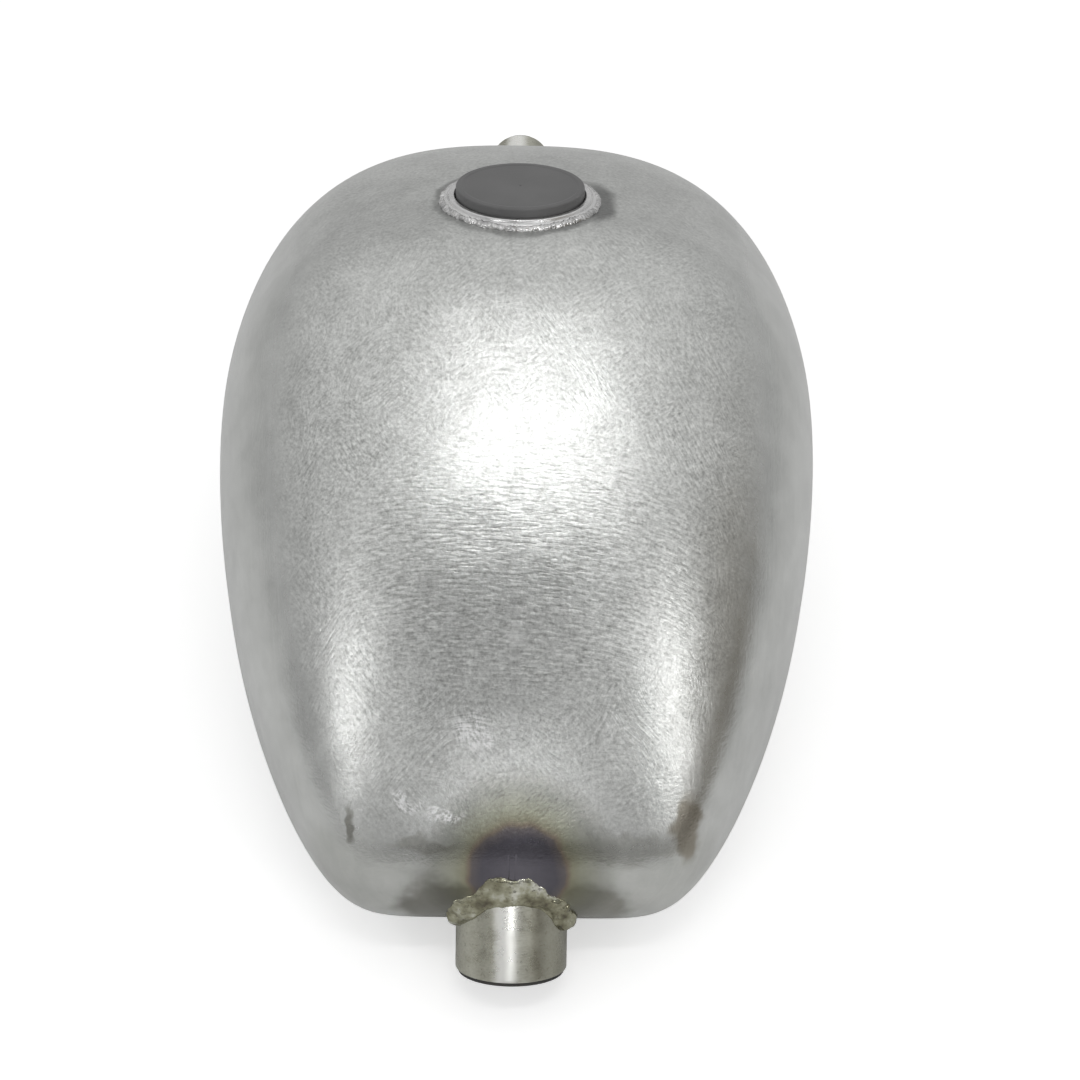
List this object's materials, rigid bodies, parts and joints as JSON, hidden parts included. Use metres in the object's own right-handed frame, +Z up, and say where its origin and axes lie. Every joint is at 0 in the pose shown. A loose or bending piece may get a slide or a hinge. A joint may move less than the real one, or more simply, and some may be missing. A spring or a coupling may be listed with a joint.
{
  "type": "motorcycle fuel tank",
  "caption": "Teardrop bare-steel motorcycle fuel tank with a screw-in filler cap, front and rear mount tubes with rubber bushes, a frame tunnel and a threaded outlet.",
  "frame": {"origin": "on the backbone mount: in the middle plane at the floor's level, where the tunnel passes under the widest section of the body", "axes": "+Y points to the front of the motorcycle, +X to its right, +Z up"},
  "size_m": [0.25, 0.4074, 0.2284],
  "materials": {
    "brushed_steel": "bare steel sheet, sanded by hand in short curved strokes",
    "weld_metal": "rough weld bead with straw and olive heat tint",
    "turned_steel": "turned and bright",
    "tube_steel": "drawn tube, satin, slightly warm",
    "black_cap": "satin black",
    "rubber": "matt"
  },
  "bodies": {
    "tank": {"shell_left": "brushed_steel", "shell_right": "brushed_steel", "centre_seam": "brushed_steel", "floor_plate": "brushed_steel", "tunnel": "brushed_steel", "base_seam_left": "weld_metal", "base_seam_right": "weld_metal", "tunnel_seam": "weld_metal", "tunnel_mouth_weld": "weld_metal", "filler_neck": "turned_steel", "filler_neck_weld": "weld_metal", "rear_mount_tube": "tube_steel", "rear_tube_weld": "weld_metal", "rear_bush": "rubber", "rear_insert": "turned_steel", "front_mount_tube": "tube_steel", "front_tube_weld": "weld_metal", "front_bush": "rubber", "outlet_bung": "turned_steel", "outlet_weld": "weld_metal"},
    "seal": {"cap_seal": "rubber"},
    "cap": {"filler_cap": "black_cap"}
  },
  "joints": [
    {"name": "cap_lift", "type": "slide", "parent": "tank", "child": "seal", "axis": [0, 0.2419, 0.9703], "range_m": [0, 0.012]},
    {"name": "cap_turn", "type": "hinge", "parent": "seal", "child": "cap", "pos_m": [0, 0.0245, 0.1991], "axis": [0, 0.2419, 0.9703], "range_deg": [0, 1440]}
  ],
  "couplings": [
    {"joint": "cap_lift", "follows": "cap_turn", "m_per_rad": 0.00047746}
  ]
}
